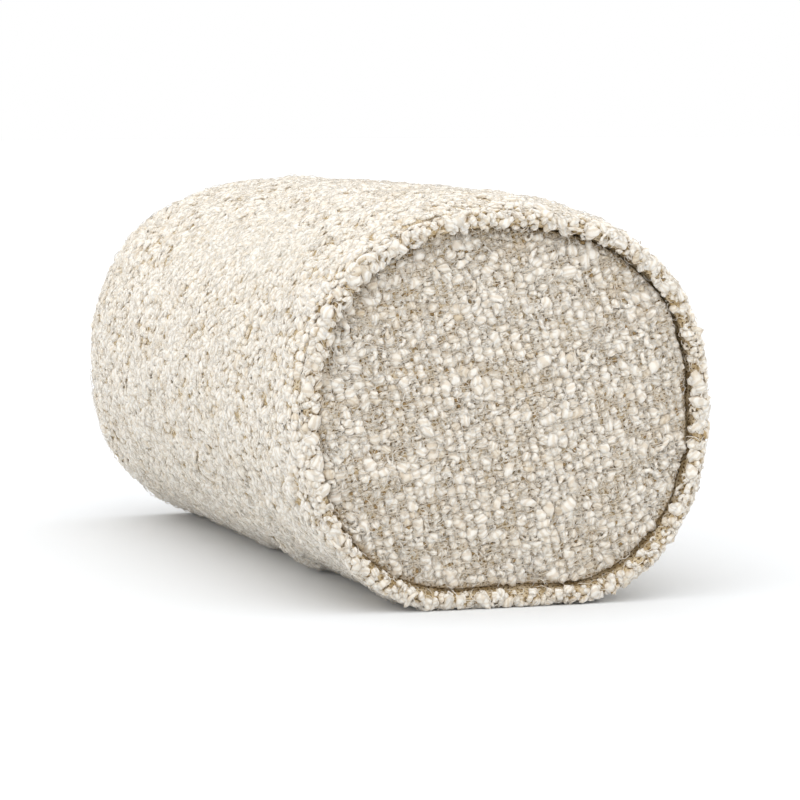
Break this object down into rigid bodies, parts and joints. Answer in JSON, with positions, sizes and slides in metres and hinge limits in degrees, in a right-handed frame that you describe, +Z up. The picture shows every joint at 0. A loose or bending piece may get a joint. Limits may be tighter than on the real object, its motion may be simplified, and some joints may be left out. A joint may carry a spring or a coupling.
{
  "type": "bolster pillow",
  "caption": "Cylindrical bolster pillow lying on its side: corded end seams, flat round end panels, a zipped looped-cloth cover and a wrapped foam insert.",
  "frame": {"origin": "on the ground under the middle of the pillow, which rests on its side", "axes": "+X along the pillow towards the end where the closed zip's slider is, +Z up, +Y towards the back, where the zip is"},
  "size_m": [0.411, 0.206, 0.1891],
  "materials": {
    "looped_cloth": "cream boucle, looped yarn on an open woven ground, matt",
    "sewing_thread": "spun polyester thread in the cloth's colour",
    "filler_cord": "twisted cotton piping cord",
    "zip_tape": "woven polyester tape",
    "zip_coil": "nylon monofilament coil, satin",
    "zip_metal": "cast zinc alloy, nickel plated, satin",
    "label_satin": "woven polyester satin ribbon, blank",
    "cambric": "plain woven cotton cambric",
    "polyester_fibre": "bonded hollow polyester fibre",
    "foam": "open-cell polyurethane foam"
  },
  "bodies": {
    "root": {"body_panel": "looped_cloth", "end_panel_front": "looped_cloth", "end_panel_rear": "looped_cloth", "welt_casing_front": "looped_cloth", "welt_casing_rear": "looped_cloth", "end_seam_thread_front": "sewing_thread", "end_seam_thread_rear": "sewing_thread", "long_seam_thread_front": "sewing_thread", "long_seam_thread_rear": "sewing_thread", "zip_stitching_upper": "sewing_thread", "zip_stitching_lower": "sewing_thread", "zip_bartack_front": "sewing_thread", "zip_bartack_rear": "sewing_thread", "insert_seam_thread_front": "sewing_thread", "insert_seam_thread_rear": "sewing_thread", "welt_cord_front": "filler_cord", "welt_cord_rear": "filler_cord", "zip_tape_upper": "zip_tape", "zip_tape_lower": "zip_tape", "zip_coil_upper": "zip_coil", "zip_coil_lower": "zip_coil", "zip_top_stop": "zip_metal", "zip_bottom_stop": "zip_metal", "care_label": "label_satin", "insert_tube": "cambric", "insert_end_front": "cambric", "insert_end_rear": "cambric", "batting_wrap": "polyester_fibre", "batting_disc_front": "polyester_fibre", "batting_disc_rear": "polyester_fibre", "foam_core": "foam"},
    "slider": {"zip_slider": "zip_metal"},
    "pull": {"zip_pull": "zip_metal"}
  },
  "joints": [
    {"name": "zip_slide", "type": "slide", "parent": "root", "child": "slider", "axis": [-1, 0, 0], "range_m": [0, 0.296]},
    {"name": "pull_flip", "type": "hinge", "parent": "slider", "child": "pull", "pos_m": [0.148, 0.09421, 0.04061], "axis": [0, -0.4612, -0.8873], "range_deg": [0, 170]}
  ]
}
